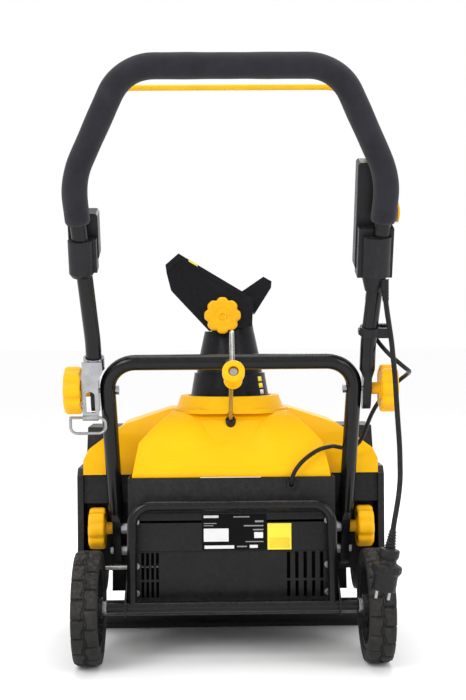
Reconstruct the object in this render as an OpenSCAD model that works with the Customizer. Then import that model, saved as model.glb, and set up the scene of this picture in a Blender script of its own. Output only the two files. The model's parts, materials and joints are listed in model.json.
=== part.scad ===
// Corded electric walk-behind snow thrower, standing on its wheels and scraper bar.
// Millimetres. +X is the operator's right, +Y is forward, +Z is up.

/* [Handle] */
// Outer diameter of the frame tubes
tube_d = 25; // [24:0.5:26]
// Lean of the handle plane behind the vertical, in degrees
lean = 21; // [20:0.5:22]
// Outer diameter of the foam grip
foam_d = 39; // [36:0.5:40]
// Diameter of the bail rod
bail_d = 9; // [8:0.5:9]

/* [Wheels] */
// Diameter over the tread
wheel_d = 180; // [178:1:182]
// Width of the tread
wheel_w = 42; // [38:1:42]
// Lugs round each tyre
lug_count = 18; // [14:1:22]
// Diameter of the axle rod
axle_d = 12; // [10:0.5:12]

/* [Auger] */
// Inner radius of the auger housing
chamber_r = 124; // [122:1:124]
// Outer radius of the rubber paddles
paddle_r = 117; // [112:1:118]
// Half width of the auger housing
housing_half_w = 245; // [244:0.5:245]

/* [Chute] */
// Radius of the chute at its base
chute_r = 67; // [65:0.5:67]
// Turns of the crank for one turn of the chute
crank_ratio = 9; // [8:1:10]
// Diameter of the crank rod
crank_d = 7; // [6:0.5:7]

/* [Knobs] */
// Diameter of the upper clamping knobs
upper_knob_d = 76; // [72:1:78]
// Diameter of the lower clamping knobs
lower_knob_d = 69; // [66:1:69]
// Diameter of the deflector knob
deflector_knob_d = 61; // [58:1:62]

/* [Cord] */
// Diameter of the mains lead
lead_d = 8; // [7:0.5:8]
// Diameter of the lead to the motor
motor_lead_d = 7; // [6:0.5:7]

/* [Hidden] */
$fn = 48;
eps = 0.01;
wall = 3;
axle_y = -83.1;
axle_z = wheel_d / 2;
wheel_in = 249 - wheel_w;

// Handle plane: the lower knob axis is where the distance s along the plane is 0
knob_y = 102.5;
knob_z = 200.2;
pivot_s = 251;
crossbar_s = 298;
lower_leg_x = 190.5;
upper_leg_x = 216.5;
flat_t = 13;
tube_wall = 1.5;
bail_s = 490;
bail_lean = 12;
bail_n = -44;
bolt_d = 8;
bore_d = 8.2;

// Paths of the bent tubes in the handle plane, as [x, s], and their bend radii
handle_path = [[216.5, 284], [216.5, 332], [236, 593], [156, 759],
               [-156, 759], [-236, 593], [-216.5, 332], [-216.5, 284]];
handle_bends = [0, 300, 130, 72, 72, 130, 300, 0];
foam_path = [[230.95, 525], [236, 593], [156, 759], [-156, 759], [-236, 593], [-230.95, 525]];
foam_bends = [0, 130, 72, 72, 130, 0];
frame_path = [[191.3, 30], [197.5, crossbar_s], [-197.5, crossbar_s], [-191.3, 30]];
frame_bends = [0, 45, 45, 0];
bail_path = [[246, 0], [228, 0], [228, 95], [172, 228],
             [-172, 228], [-228, 95], [-228, 0], [-246, 0]];
bail_bends = [0, 8, 60, 35, 35, 60, 8, 0];

// Auger axis, motor axis and the outline of the housing, as [y, z]
auger_y = 270;
auger_z = 136;
motor_y = 106;
motor_z = 134;
sheet = 4;
side_outline = [[142, 134], [142, 300], [172, 364], [266, 364], [392, 262], [392, 84],
                [352, 16], [300, 8], [236, 8], [172, 55]];
chamber_outline = [[146, 134], [146, 299], [175, 360], [264, 360], [410, 242], [410, 134]];
cover_outline = [[96, 288], [96, 172], [88, 150], [92, 120], [106, 106], [205, 46],
                 [300, 40], [345, 90], [345, 210], [300, 275], [240, 300], [108, 300]];

// Chute: axis, and the wall from the gear ring to the open top, as [radius, z]
chute_y = 160;
chute_wall = 3;
chute_profile = [[60, 374], [66, 396], [chute_r, 416], [60.5, 454], [60.5, 457],
                 [56, 458], [50.5, 489], [42, 529], [39, 546]];
duct_r = 58;
tilt_x = -12;
tilt_z = 554;
channel_y = 43.3;

// Crank: where the rod enters the cover, its slope, and its lengths
crank_y = 85;
crank_z = 374;
crank_slope = 138.4;
grip_turn = 23.6;
crank_path = [[-9, 0], [234, 0], [234, 106],
              [234 + 58 * cos(grip_turn), 106 + 58 * sin(grip_turn)]];
crank_bends = [0, 12, 12, 0];

// Routes of the two leads, chosen by hand, from the axle's own frame
mains_route = [[235, -66, 604], [236, -66, 590], [237, -66, 574], [239, -67, 555],
               [242, -69, 532], [245, -71, 508], [247, -74, 482], [249, -77, 456],
               [250, -80, 430], [251, -83, 404], [252, -87, 378], [253, -91, 352],
               [253, -95, 326], [252, -101, 302], [249, -107, 280], [245, -112, 260],
               [241, -116, 242], [238, -118, 226]];
motor_route = [[216, -26, 592], [216, -12, 574], [218, -5, 554], [222, -3, 534],
               [227, 1, 520], [236, -2, 506], [245, -10, 494], [254, -18, 484],
               [264, -22, 475], [274, -18, 467], [282, -5, 462], [285, 12, 459], [283, 30, 454],
               [276, 47, 446], [265, 60, 434], [252, 67, 420], [241, 71, 404],
               [232, 74, 387], [225, 77, 369], [219, 80, 352], [209, 83, 338],
               [195, 83, 332], [181, 77, 334], [169, 66, 337], [158, 52, 337],
               [144, 44, 334], [129, 40, 326], [115, 37, 315], [104, 34, 302],
               [98, 33, 289], [97, 37, 278]];

// Moves a piece from the axle's frame to the part's own frame
module stand() translate([0, axle_y, 0]) children();

// Local X, Y, Z become the part's X, the distance s up the handle, and the operator's side
module on_handle(s = 0)
    stand() translate([0, knob_y, knob_z]) rotate([90 + lean, 0, 0]) translate([0, s, 0]) children();

// Local X runs up the crank rod, local Y down the crank arm, local Z to the right
module on_crank()
    stand() translate([0, crank_y, crank_z]) rotate([crank_slope, 0, 0]) rotate([90, 0, 90])
        children();

// A prism along X from x0 to x1, whose outline is [y, z]
module prism_x(outline, x0, x1)
    translate([x0, 0, 0]) rotate([90, 0, 90]) linear_extrude(x1 - x0) polygon(outline);

// A prism along Y from y0 to y1, whose outline is [x, z]
module prism_y(outline, y0, y1)
    translate([0, y1, 0]) rotate([90, 0, 0]) linear_extrude(y1 - y0) polygon(outline);

// A cylinder along X from x0 to x1 through [y, z]
module rod_x(x0, x1, d, y = 0, z = 0)
    translate([x0, y, z]) rotate([0, 90, 0]) cylinder(h = x1 - x0, d = d);

function unit(v) = v / norm(v);
function turn_of(p, i) = acos(unit(p[i] - p[i - 1]) * unit(p[i + 1] - p[i]));
function trim_of(p, r, i) =
    i == 0 || i == len(p) - 1 ? 0 : r[i] * tan(turn_of(p, i) / 2);

// A round bar along a flat path, with a bend of its own radius at each corner
module bent_bar(p, r, d) {
    for (i = [0 : len(p) - 2]) {
        u = unit(p[i + 1] - p[i]);
        from = p[i] + u * trim_of(p, r, i);
        span = norm(p[i + 1] - p[i]) - trim_of(p, r, i) - trim_of(p, r, i + 1);
        translate([from.x, from.y, 0]) rotate([0, 0, atan2(u.y, u.x)]) rotate([0, 90, 0])
            cylinder(h = span, d = d);
    }
    for (i = [1 : len(p) - 2]) {
        u = unit(p[i] - p[i - 1]);
        v = unit(p[i + 1] - p[i]);
        side = sign(u.x * v.y - u.y * v.x);
        start = p[i] - u * trim_of(p, r, i);
        centre = start + side * r[i] * [-u.y, u.x];
        first = atan2(start.y - centre.y, start.x - centre.x);
        translate([centre.x, centre.y, 0])
            rotate([0, 0, side > 0 ? first : first - turn_of(p, i)])
                rotate_extrude(angle = turn_of(p, i)) translate([r[i], 0]) circle(d = d);
    }
}

module bent_tube(p, r, d, t) difference() {
    bent_bar(p, r, d);
    bent_bar(p, r, d - 2 * t);
}

// The points of a flat path whose corners are rounded to their bend radii
function corner_points(p, r, i) = r[i] == 0 ? [[p[i].x, p[i].y, 0]] :
    let (u = unit(p[i] - p[i - 1]), v = unit(p[i + 1] - p[i]), turn = turn_of(p, i),
         side = sign(u.x * v.y - u.y * v.x), start = p[i] - u * trim_of(p, r, i),
         centre = start + side * r[i] * [-u.y, u.x],
         first = atan2(start.y - centre.y, start.x - centre.x), steps = max(2, ceil(turn / 9)))
    [for (k = [0 : steps])
        let (a = first + side * turn * k / steps)
        [centre.x + r[i] * cos(a), centre.y + r[i] * sin(a), 0]];
function rounded_path(p, r) = [for (i = [0 : len(p) - 1]) each corner_points(p, r, i)];

// A long bar along a flat path, as one swept solid
module swept_bar(p, r, d) swept_lead(rounded_path(p, r), d, 20, [0, 0, 1]);
module swept_tube(p, r, d, t) difference() {
    swept_bar(p, r, d);
    swept_bar(p, r, d - 2 * t);
}

// The straight part of an upper handle leg, as a round cutter of diameter d
module leg_cutter(side, d, from_s = 340) mirror([side > 0 ? 0 : 1, 0, 0])
    translate([handle_path[1].x, handle_path[1].y, 0])
        rotate([0, 0, -atan((handle_path[2].x - handle_path[1].x)
                            / (handle_path[2].y - handle_path[1].y))])
            rotate([-90, 0, 0]) translate([0, 0, from_s - handle_path[1].y])
                cylinder(h = 240, d = d);

// The flattened, rounded end of a frame tube, from s = 0 up to s = reach
module flat_end(reach, width) {
    rotate([0, 90, 0]) translate([0, 0, -flat_t / 2]) cylinder(h = flat_t, d = width);
    translate([-flat_t / 2, 0, -width / 2]) cube([flat_t, reach, width]);
}

// A round, sweeping tube through a list of points
function ring_dir(p, i) =
    unit(p[min(i + 1, len(p) - 1)] - p[max(i - 1, 0)]);
function ring_side(p, i, last) =
    let (t = ring_dir(p, i)) unit(last - (last * t) * t);
function ring_sides(p, i = 0, last = [0, 1, 0.1], found = []) =
    i == len(p) ? found :
    let (n = ring_side(p, i, last)) ring_sides(p, i + 1, n, concat(found, [n]));
module swept_lead(p, d, sides = 10, first = [0, 1, 0.1]) {
    n = ring_sides(p, 0, first);
    rings = [for (i = [0 : len(p) - 1], k = [0 : sides - 1])
        p[i] + d / 2 * (cos(360 * k / sides) * n[i]
                        + sin(360 * k / sides) * cross(ring_dir(p, i), n[i]))];
    skin = [for (i = [0 : len(p) - 2], k = [0 : sides - 1])
        let (a = i * sides + k, b = i * sides + (k + 1) % sides)
        each [[a, a + sides, b], [b, a + sides, b + sides]]];
    last = (len(p) - 1) * sides;
    ends = [[for (k = [0 : sides - 1]) k],
            [for (k = [sides - 1 : -1 : 0]) last + k]];
    polyhedron(points = rings, faces = concat(skin, ends));
}

// A lobed hand knob on the XY plane, with its hub below it
module star_knob(d, t, hub_d, hub_h) {
    lobes = 8;
    notch_r = d * 0.1;
    difference() {
        intersection() {
            linear_extrude(t) difference() {
                circle(d = d);
                for (k = [0 : lobes - 1])
                    rotate(360 * (k + 0.5) / lobes) translate([d / 2 + notch_r * 0.35, 0])
                        circle(r = notch_r);
            }
            rotate_extrude() polygon([[0, 0], [d / 2 - 3, 0], [d / 2, 3], [d / 2, t - 5],
                                      [d / 2 - 5, t], [0, t]]);
        }
        translate([0, 0, -1]) cylinder(h = t - 4, d = bore_d);
    }
    translate([0, 0, -hub_h]) difference() {
        cylinder(h = hub_h + eps, d = hub_d);
        translate([0, 0, -1]) cylinder(h = hub_h + 2, d = bore_d);
    }
}

// ---- Auger housing and its rotor ----

module duct_hole() translate([0, chute_y, 150]) cylinder(h = 300, r = duct_r - wall);

module auger_housing() color("#1b1b1d") stand() difference() {
    union() {
        difference() {
            prism_x(side_outline, -housing_half_w, housing_half_w);
            prism_x(chamber_outline, -housing_half_w + sheet, housing_half_w - sheet);
            rod_x(-housing_half_w + sheet, housing_half_w - sheet, 2 * chamber_r,
                  auger_y, auger_z);
            translate([-housing_half_w + sheet, auger_y + 30, -10])
                cube([2 * (housing_half_w - sheet), 150, 160]);
            translate([-housing_half_w + sheet, auger_y, 16])
                cube([2 * (housing_half_w - sheet), 150, 120]);
        }
        difference() {
            translate([0, chute_y, 300]) cylinder(h = 62, r = duct_r);
            prism_x(chamber_outline, -100, 100);
        }
    }
    duct_hole();
    rod_x(-housing_half_w - 1, housing_half_w + 1, 30, auger_y, auger_z);
}

module scraper_bar() color("#3a3a3c") stand()
    prism_x([[238, 0], [300, 0], [312, 8], [238, 8]], -238, 238);

module auger_bearings() color("#8d9093") stand() for (side = [-1, 1])
    difference() {
        rod_x(side > 0 ? 238 : -247.1, side > 0 ? 248 : -241, 30, auger_y, auger_z);
        rod_x(side * 243 - 9, side * 243 + 9, 16.1, auger_y, auger_z);
    }

module auger_shaft() color("#8d9093") stand() {
    rod_x(-252.6, 249, 16, auger_y, auger_z);
    rod_x(-252.4, -247.4, 104, auger_y, auger_z);
}

module auger_drum() color("#2a2a2c") stand() difference() {
    union() {
        rod_x(-228, 228, 46, auger_y, auger_z);
        for (x = [-228, -60, 56, 224])
            rod_x(x, x + 4, 150, auger_y, auger_z);
    }
    rod_x(-235, 235, 16, auger_y, auger_z);
}

// One paddle is a curved strip from the drum to the paddle radius
module paddle_outline() intersection() {
    difference() {
        translate([0, -62]) circle(r = 85);
        translate([0, -62]) circle(r = 79);
        circle(r = 23);
    }
    circle(r = paddle_r);
    translate([0, -paddle_r]) square([paddle_r, 2 * paddle_r]);
}

module auger_paddles() color("#202022") stand() difference() {
    for (k = [0, 1])
        translate([-220, auger_y, auger_z]) rotate([180 * k, 0, 0]) rotate([90, 0, 90])
            linear_extrude(440) paddle_outline();
    for (x = [-228, -60, 56, 224])
        rod_x(x, x + 4, 150, auger_y, auger_z);
}

// ---- Motor and belt ----

module motor() color("#4a4c50") stand() difference() {
    union() {
        rod_x(-110, 60, 64, motor_y, motor_z);
        rod_x(-122, -110, 40, motor_y, motor_z);
    }
    rod_x(-130, 40, 24, motor_y, motor_z);
}

module motor_rotor() color("#8d9093") stand() {
    rod_x(-253, 30, 8, motor_y, motor_z);
    rod_x(-100, 20, 23, motor_y, motor_z);
    rod_x(-252.4, -247.4, 24, motor_y, motor_z);
}

module drive_belt() color("#151515") stand()
    translate([-252, 0, 0]) rotate([90, 0, 90]) linear_extrude(4.4) difference() {
        hull() {
            translate([motor_y, motor_z]) circle(r = 14.3);
            translate([auger_y, auger_z]) circle(r = 54.3);
        }
        hull() {
            translate([motor_y, motor_z]) circle(r = 12.3);
            translate([auger_y, auger_z]) circle(r = 52.3);
        }
    }

// ---- Body ----

module motor_housing() color("#1b1b1d") stand() difference() {
    union() {
        translate([-168, 40, 84]) cube([336, 101.7, 205.7]);
        translate([-246, 103, 242]) cube([492, 38.7, 47.7]);
    }
    translate([-165, 43, 87]) cube([330, 95.7, 210]);
    translate([-243, 106, 245]) cube([486, 32.7, 60]);
    translate([-150, 30, 96]) cube([300, 20, 136]);
    for (x = [-172, 160], q = [[knob_y, knob_z], [117.2, 161.9]])
        rod_x(x, x + 12, bore_d, q.x, q.y);
    rod_x(-172, -160, 12, motor_y, motor_z);
    translate([0, chute_y, 200]) cylinder(h = 160, r = duct_r + 0.4);
    translate([97, 50, 278]) rotate([90, 0, 0]) cylinder(h = 20, d = 12);
    for (x = [-153.5, 153.5])
        translate([x, 101, 242 + 10]) cube([2, 4, 60]);
}

module rear_panel() color("#232325") stand() difference() {
    union() {
        translate([-161, 37, 86]) cube([322, 3, 152]);
        translate([-158, 34, 172]) cube([316, 3 + eps, 62]);
    }
    for (k = [0 : 4], row = [0, 1])
        translate([89 + 13.5 * k, 30, row == 0 ? 126 : 96]) cube([5, 20, row == 0 ? 43 : 26]);
    for (k = [0 : 3], row = [0, 1])
        translate([-147 + 8 * k, 30, row == 0 ? 126 : 96]) cube([4, 20, row == 0 ? 43 : 26]);
    for (x = [-155, 155], z = [220, 148, 104])
        translate([x, 50, z]) rotate([90, 0, 0]) cylinder(h = 30, d = 4);
}

module panel_screws() color("#b9bcc0") stand() for (x = [-155, 155], z = [220, 148, 104])
    translate([x, z > 200 ? 34 : 37, z]) rotate([90, 0, 0]) {
        translate([0, 0, -7.5]) cylinder(h = 7.5, d = 4);
        cylinder(h = 1, d = 11);
        translate([0, 0, 1]) cylinder(h = 3, d = 7.5);
    }

function inset_rear(p, t) = [for (q = p) [q.x - sign(q.x) * t, q.y - t]];

// The hipped body of the cover: two outlines crossed, one from behind and one from the side
module cover_body(t) {
    rear = [[-246, 270], [-246, 314], [-238, 331], [-200, 359], [-178, 372], [-104, 396],
            [104, 396], [178, 372], [200, 359], [238, 331], [246, 314], [246, 270]];
    side = t == 0
        ? [[98, 290], [98, 314], [118, 356], [148, 396], [255, 396], [276, 366],
           [171, 366], [141.5, 302], [141.5, 290]]
        : [[101, 200], [101, 313], [121, 354], [150, 393], [253.5, 393], [272, 366.2],
           [272, 300], [160, 300], [160, 200]];
    intersection() {
        prism_y(inset_rear(rear, t), 0, 400);
        prism_x(side, -260, 260);
    }
}

module cover_bulge(t) {
    rear = [[-162, 270], [-162, 290], [-151, 345], [-130, 368], [-96, 394],
            [96, 394], [130, 368], [151, 345], [162, 290], [162, 270]];
    side = t == 0
        ? [[46, 290], [46, 300], [60, 346], [84, 386], [96, 394], [160, 394], [141.5, 290]]
        : [[49, 200], [49, 300], [63, 345], [86, 383], [97, 391], [160, 391], [160, 200]];
    intersection() {
        prism_y(inset_rear(rear, t), 0, 400);
        prism_x(side, -260, 260);
    }
}

// The pocket round the crank hole: a wide mouth behind, a narrow floor in front
module pocket(t) {
    mouth = [[-68 - t, 398], [68 + t, 398], [54 + t, 310 - t], [-54 - t, 310 - t]];
    floor_top = [[-26 - t, 398], [26 + t, 398], [26 + t, 345 - t], [-26 - t, 345 - t]];
    hull() {
        prism_y(mouth, 43, 44);
        prism_y([for (q = mouth) q.y > 390 ? q : [q.x, 384]], 80, 81);
        prism_y([for (q = floor_top) q.y > 390 ? q : [q.x, 384]], 80 + t, 81 + t);
        prism_y(floor_top, 74 + t, 75 + t);
    }
}

module cover_hollow() difference() {
    union() {
        cover_body(wall);
        cover_bulge(wall);
    }
    pocket(wall);
}

module top_cover() color("#f5b800") stand() difference() {
    union() {
        difference() {
            union() {
                cover_body(0);
                cover_bulge(0);
            }
            difference() {
                pocket(0);
                translate([0, chute_y, 300]) cylinder(h = 120, r = 79);
            }
            cover_hollow();
        }
        difference() {
            union() {
                translate([0, chute_y, 391]) cylinder(h = 28, r1 = 94, r2 = 84);
                translate([0, chute_y, 391]) cylinder(h = 7, r = 99);
            }
            translate([-60, 40, 380]) cube([120, 34, 60]);
        }
    }
    translate([0, chute_y, 300]) cylinder(h = 200, r = chute_r + 3);
    translate([0, crank_y, crank_z]) rotate([crank_slope - 90, 0, 0])
        translate([0, 0, -30]) cylinder(h = 60, d = 17);
}

module chute_retainer() color("#1b1b1d") stand() translate([0, chute_y, 378]) difference() {
    cylinder(h = 6, r = 78);
    translate([0, 0, -1]) cylinder(h = 8, r = 66);
    translate([-60, -90, -1]) cube([120, 30, 8]);
}

module crank_bushing() color("#1b1b1d") on_crank() rotate([0, 90, 0]) difference() {
    translate([0, 0, -3]) cylinder(h = 14, d = 16.8);
    translate([0, 0, -10]) cylinder(h = 30, d = crank_d + 0.2);
}

module belt_cover() color("#1b1b1d") stand() difference() {
    prism_x(cover_outline, -256, -housing_half_w - 1.1);
    intersection() {
        prism_x(cover_outline, -253.8, -200);
        hull() {
            rod_x(-253.8, -200, 32, motor_y, motor_z);
            rod_x(-253.8, -200, 112, auger_y, auger_z);
        }
    }
}

module right_side_cover() color("#1b1b1d") stand() difference() {
    prism_x(cover_outline, housing_half_w + 1.1, 256);
    rod_x(240, 251, 60, auger_y, auger_z);
}

// ---- Running gear ----

module axle() color("#8d9093") stand() rod_x(-252, 252, axle_d, 0, axle_z);

module axle_sleeve() color("#1b1b1d") stand() difference() {
    rod_x(-200, 200, 18, 0, axle_z);
    rod_x(-201, 201, axle_d + 0.1, 0, axle_z);
}

module axle_collars() color("#8d9093") stand() for (side = [-1, 1]) difference() {
    rod_x(side > 0 ? 200.1 : -206.8, side > 0 ? 206.8 : -200.1, 24, 0, axle_z);
    rod_x(side > 0 ? 199 : -212, side > 0 ? 212 : -199, axle_d + 0.1, 0, axle_z);
}

module axle_caps() color("#8d9093") stand() for (side = [-1, 1]) difference() {
    rod_x(side > 0 ? 249.2 : -254, side > 0 ? 254 : -249.2, 26, 0, axle_z);
    rod_x(side > 0 ? 248 : -252.1, side > 0 ? 252.1 : -248, axle_d + 0.1, 0, axle_z);
}

module wheel_body(side) color("#202022") stand()
    translate([side * (wheel_in + wheel_w / 2), 0, axle_z]) rotate([0, side * 90, 0])
        difference() {
            union() {
                difference() {
                    cylinder(h = wheel_w - 6, r = 68, center = true);
                    cylinder(h = wheel_w, r = 61, center = true);
                }
                translate([0, 0, -4]) cylinder(h = 4, r = 62);
                translate([0, 0, -wheel_w / 2 + 0.3]) cylinder(h = wheel_w - 0.6, d = 34);
                for (k = [0 : 7]) rotate(45 * k)
                    translate([0, -2, -10]) cube([63, 4, 20]);
            }
            cylinder(h = 100, d = axle_d + 0.1, center = true);
        }

// The tread is two rows of lugs half a pitch apart, each side of a plain band
module tread(d, shift) linear_extrude(wheel_w / 2 - 2) difference() {
    circle(d = d);
    circle(r = 68);
    for (k = [0 : lug_count - 1])
        rotate(360 * (k + shift) / lug_count) translate([d / 2 - 4.5, -5]) square([9, 10]);
}

module tyre(side) color("#161616") stand()
    translate([side * (wheel_in + wheel_w / 2), 0, axle_z]) rotate([0, 90, 0]) {
        translate([0, 0, -wheel_w / 2 + 0.3]) tread(wheel_d - 2, 0);
        translate([0, 0, -1.8]) difference() {
            cylinder(h = 3.6, d = wheel_d);
            translate([0, 0, -1]) cylinder(h = 6, r = 68);
        }
        translate([0, 0, 1.7]) tread(wheel_d - 2, 0.5);
    }

module left_wheel() wheel_body(-1);
module right_wheel() wheel_body(1);
module left_tyre() tyre(-1);
module right_tyre() tyre(1);

module side_plate(side) color("#1b1b1d") stand() difference() {
    prism_x([[-17, 78], [17, 74], [128, 140], [128, 176], [116, 222], [88, 222], [60, 150],
             [-6, 112], [-19, 100]],
            side > 0 ? 168.1 : -171.1, side > 0 ? 171.1 : -168.1);
    rod_x(-200, 200, 18.1, 0, axle_z);
    rod_x(-200, 200, bore_d, knob_y, knob_z);
    rod_x(-200, 200, bore_d, 117.2, 161.9);
    rod_x(-200, 200, 14, motor_y, motor_z);
}

module left_side_plate() side_plate(-1);
module right_side_plate() side_plate(1);

// The thin hoop rises from the axle beside the side plates
hoop_path = [[160, 0], [160, 159], [-160, 159], [-160, 0]];
module wheel_frame() color("#1b1b1d") stand() difference() {
    translate([0, 0, axle_z]) rotate([83, 0, 0])
        bent_tube(hoop_path, [0, 30, 30, 0], 16, tube_wall);
    rod_x(-200, 200, 18.1, 0, axle_z);
}

// ---- Lower frame ----

module lower_end(side) translate([side * lower_leg_x, -55, 0]) {
    flat_end(75, 30);
    hull() {
        translate([-flat_t / 2, 74, -15]) cube([flat_t, 1, 30]);
        translate([side * 0.8, 86, 0]) rotate([90, 0, 0]) cylinder(h = 1, d = tube_d, $fn = 32);
    }
}

module lower_frame() color("#1b1b1d") on_handle() difference() {
    union() {
        swept_tube(frame_path, frame_bends, tube_d, tube_wall);
        for (side = [-1, 1]) lower_end(side);
    }
    for (s = [0, -41, pivot_s]) translate([0, s, 0]) rod_x(-260, 260, bore_d);
}

module frame_spacers() color("#8d9093") for (side = [-1, 1], s = [0, -41]) on_handle(s)
    difference() {
        rod_x(side > 0 ? 171.2 : -183.9, side > 0 ? 183.9 : -171.2, 20);
        rod_x(-200, 200, bore_d);
    }

module frame_bolts() color("#b9bcc0") for (side = [-1, 1]) on_handle(-41) {
    rod_x(side > 0 ? 163 : -203, side > 0 ? 203 : -163, bolt_d);
    rotate([0, side * 90, 0]) translate([0, 0, 197.2]) cylinder(h = 5.5, d = 14.5, $fn = 6);
    rod_x(side > 0 ? 197.1 : -198, side > 0 ? 198 : -197.1, 17);
}

module clamp_bolts() color("#b9bcc0") for (side = [-1, 1]) {
    on_handle(0) rod_x(side > 0 ? 163 : -231.5, side > 0 ? 231.5 : -163, bolt_d);
    on_handle(pivot_s) rod_x(side > 0 ? 178.6 : -258, side > 0 ? 258 : -178.6, bolt_d);
    on_handle(pivot_s) rotate([0, -side * 90, 0]) translate([0, 0, -183.5])
        cylinder(h = 5, d = 14.5, $fn = 6);
}

module lead_grommet() color("#141414") stand() translate([97, 0, 278]) rotate([90, 0, 0])
    difference() {
        union() {
            translate([0, 0, -44]) cylinder(h = 8, d = 11.8);
            translate([0, 0, -39.9]) cylinder(h = 5, d = 16);
        }
        translate([0, 0, -60]) cylinder(h = 40, d = motor_lead_d + 0.4);
    }

module crank_guide() color("#1b1b1d") on_crank() difference() {
    union() {
        rod_x(149, 155, 20);
        translate([138, -13, -3]) cube([14, 7, 6]);
    }
    rod_x(130, 170, crank_d + 0.2);
    translate([135.9, -18.7, -20]) cylinder(h = 40, d = tube_d + 0.1);
}

// ---- Upper handle and its controls ----

module upper_end(side) translate([side * upper_leg_x, pivot_s, 0]) {
    translate([0, -20, 0]) flat_end(44, 30);
    hull() {
        translate([-flat_t / 2, 23, -15]) cube([flat_t, 1, 30]);
        translate([0, 34, 0]) rotate([90, 0, 0]) cylinder(h = 1, d = tube_d, $fn = 32);
    }
}

module upper_handle() color("#151517") on_handle() difference() {
    union() {
        swept_tube(handle_path, handle_bends, tube_d, tube_wall);
        for (side = [-1, 1]) upper_end(side);
    }
    translate([0, pivot_s, 0]) rod_x(-260, 260, bore_d);
}

module foam_grip() color("#26252b") on_handle() difference() {
    swept_bar(foam_path, foam_bends, foam_d);
    swept_bar(handle_path, handle_bends, tube_d + 0.2);
}

// The slot and the pin hole that an end of the bail swings in
module bail_slot(side) {
    translate([0, bail_s, -90]) linear_extrude(52) polygon([for (p = [[221.5, -5.5], [236.5, -5.5],
        [236.5, 10], [234, 14], [234, 95], [222, 132], [205, 132], [221.5, 86]]) [side * p[0], p[1]]]);
    translate([0, bail_s, bail_n])
        rod_x(side > 0 ? 225 : -246.5, side > 0 ? 246.5 : -225, bail_d + 0.4);
}

// The clamp that holds the left end of the bail: a sleeve round the tube and a flat front
module bail_bracket() color("#1e1e21") on_handle() difference() {
    union() {
        translate([-229, 447, 0]) rotate([-90, 0, 0]) cylinder(h = 52, d = 38);
        translate([-229, 441, 0]) rotate([-90, 0, 0]) cylinder(h = 6, d1 = 30, d2 = 38);
        hull() for (x = [-244, -208], s = [467, 530])
            translate([x, s, -55]) cylinder(h = 35.5, r = 5, $fn = 24);
        translate([-247, 447, -30]) cube([42, 52, 30]);
    }
    leg_cutter(-1, tube_d + 0.2);
    leg_cutter(-1, foam_d + 0.4, 525);
    bail_slot(-1);
}

module switch_box() color("#1e1e21") on_handle() difference() {
    union() {
        translate([223, 441, 0]) rotate([-90, 0, 0]) cylinder(h = 62, d = 44);
        translate([221, 416, 0]) rotate([-90, 0, 0]) cylinder(h = 26, d1 = 27, d2 = 40);
        translate([195, 436, -34]) cube([54, 78, 34]);
        hull() for (x = [198, 244], s = [448, 606])
            translate([x, s, -54]) cylinder(h = 32, r = 5, $fn = 24);
    }
    leg_cutter(1, tube_d + 0.2);
    leg_cutter(1, foam_d + 0.4, 525);
    bail_slot(1);
    translate([199, 452, -50]) cube([44, 150, 24]);
    translate([0, 530, -37]) rod_x(238, 260, 26);
    translate([0, 560, -37]) rod_x(180, 200, 5);
}

module button_collar() color("#111113") on_handle(530) difference() {
    union() {
        translate([0, 0, -37]) rod_x(249.1, 253, 34);
        translate([0, 0, -37]) rod_x(241, 249.2, 25.8);
    }
    translate([0, 0, -37]) rod_x(230, 260, 22);
}

module power_button() color("#f5b800") on_handle(530) {
    translate([0, 0, -37]) rod_x(238.5, 257.5, 21.6);
    translate([0, 0, -37]) rod_x(256.6, 259, 31);
    translate([258.9, 0, -37]) rotate([0, 90, 0]) intersection() {
        translate([0, 0, -38]) sphere(r = 41);
        cylinder(h = 10, d = 31);
    }
}

module cord_clip() color("#141414") on_handle() difference() {
    union() {
        translate([218, 342, 0]) rotate([-90, 0, 0]) cylinder(h = 14, d = 32);
        translate([228, 340, -9]) cube([22, 18, 6]);
        translate([228, 340, 5]) cube([20, 16, 6]);
        translate([246, 340, -9]) cube([5, 18, 16]);
        translate([200, 344, -6]) cube([10, 8, 12]);
    }
    leg_cutter(1, tube_d + 0.2, 320);
}

// Stamped plate that takes up the pull of an extension cord
module cord_anchor() color("#c4c6ca") on_handle() difference() {
    union() {
        translate([-216.5, 288, 0]) rotate([-90, 0, 0]) cylinder(h = 20, d = 33);
        translate([0, 0, 16]) linear_extrude(3) polygon([[-234, 306], [-203, 306],
            [-202, 290], [-209.6, 274], [-209.6, 230], [-210.5, 211], [-236.3, 211],
            [-236.3, 262]]);
        translate([0, 211, 17.5]) rod_x(-236.3, -211.4, 9.5);
    }
    translate([0, 211, 17.5]) rod_x(-240, -200, 4.9);
    translate([-216.5, 280, 0]) rotate([-90, 0, 0]) cylinder(h = 40, d = 27);
    translate([-230, 220, 10]) cube([14, 29, 12]);
    translate([-223, 249, 10]) cylinder(h = 12, d = 14);
    translate([-216.5, 298, -30]) cube([4, 40, 60], center = true);
    translate([-260, 262, -40]) cube([80, 60, 29]);
}

// The wire loop turns in the rolled lower edge of the plate and hangs straight down
loop_path = [[-256, 0], [-200, 0], [-200, -25], [-256, -25], [-256, -0.5]];
module anchor_loop() color("#b0b3b8") on_handle(211) translate([0, 0, 17.5])
    rotate([-lean, 0, 0]) {
        bent_bar(loop_path, [0, 11, 11, 11, 0], 4.5);
        translate([-256, 0, 0]) sphere(d = 4.5);
    }

module bail() color("#f5b800") on_handle(bail_s) translate([0, 0, bail_n]) rotate([-bail_lean, 0, 0])
    swept_bar(bail_path, bail_bends, bail_d);

module mains_lead() color("#161616") stand() swept_lead(mains_route, lead_d);

module motor_lead() color("#161616") stand() swept_lead(motor_route, motor_lead_d);

// The plug hangs from the lead's end, tilted, with ribs on its strain relief
plug_tilt = 9.6;
module at_plug() stand() translate([238, -118, 226]) rotate([0, 180 + plug_tilt, 0]) children();

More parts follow.
